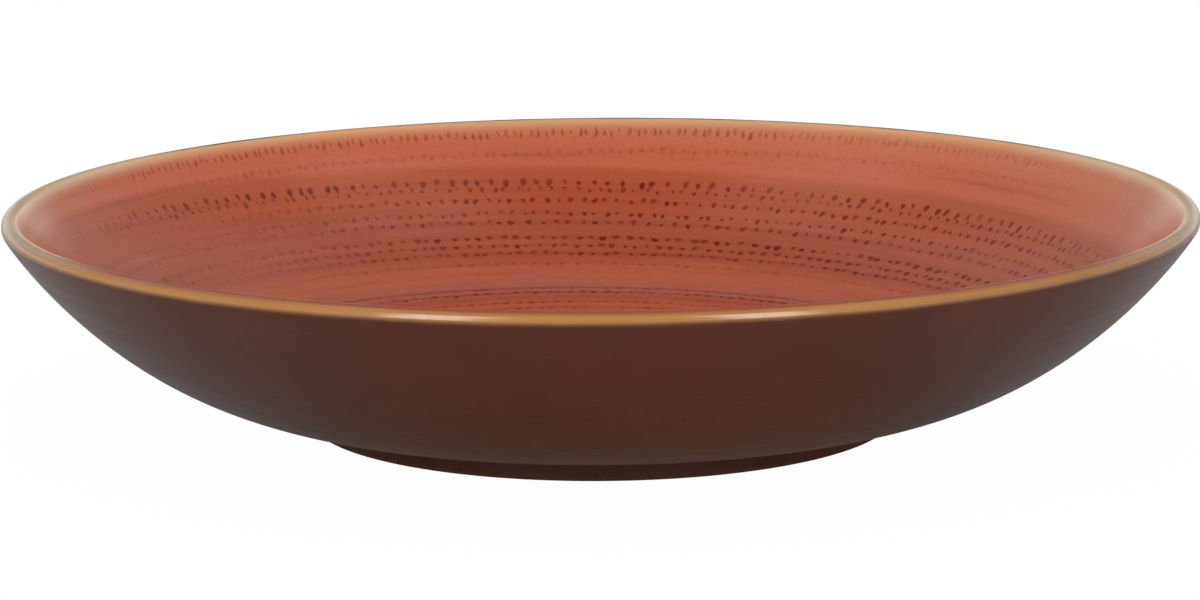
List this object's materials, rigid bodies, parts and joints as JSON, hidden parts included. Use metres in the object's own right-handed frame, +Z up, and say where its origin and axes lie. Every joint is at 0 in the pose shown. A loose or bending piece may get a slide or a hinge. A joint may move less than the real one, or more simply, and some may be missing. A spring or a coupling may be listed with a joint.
{
  "type": "deep coupe plate",
  "caption": "Deep round coupe plate of glazed stoneware, with a curved wall that rises to a rounded lip and a turned foot ring.",
  "frame": {"origin": "centre of the foot ring, on the table", "axes": "+Z up along the plate's axis; X and Y are alike, because the plate is round"},
  "size_m": [0.28, 0.28, 0.0516],
  "materials": {
    "stoneware": "bare fired clay, ground smooth",
    "coral_glaze": "satin coral glaze with rows of darker chatter marks",
    "ochre_glaze": "glossy ochre glaze",
    "brown_glaze": "satin dark brown glaze"
  },
  "bodies": {
    "root": {"stoneware_body": "stoneware", "inner_glaze": "coral_glaze", "rim_glaze": "ochre_glaze", "outer_glaze": "brown_glaze", "recess_glaze": "brown_glaze"}
  },
  "joints": []
}
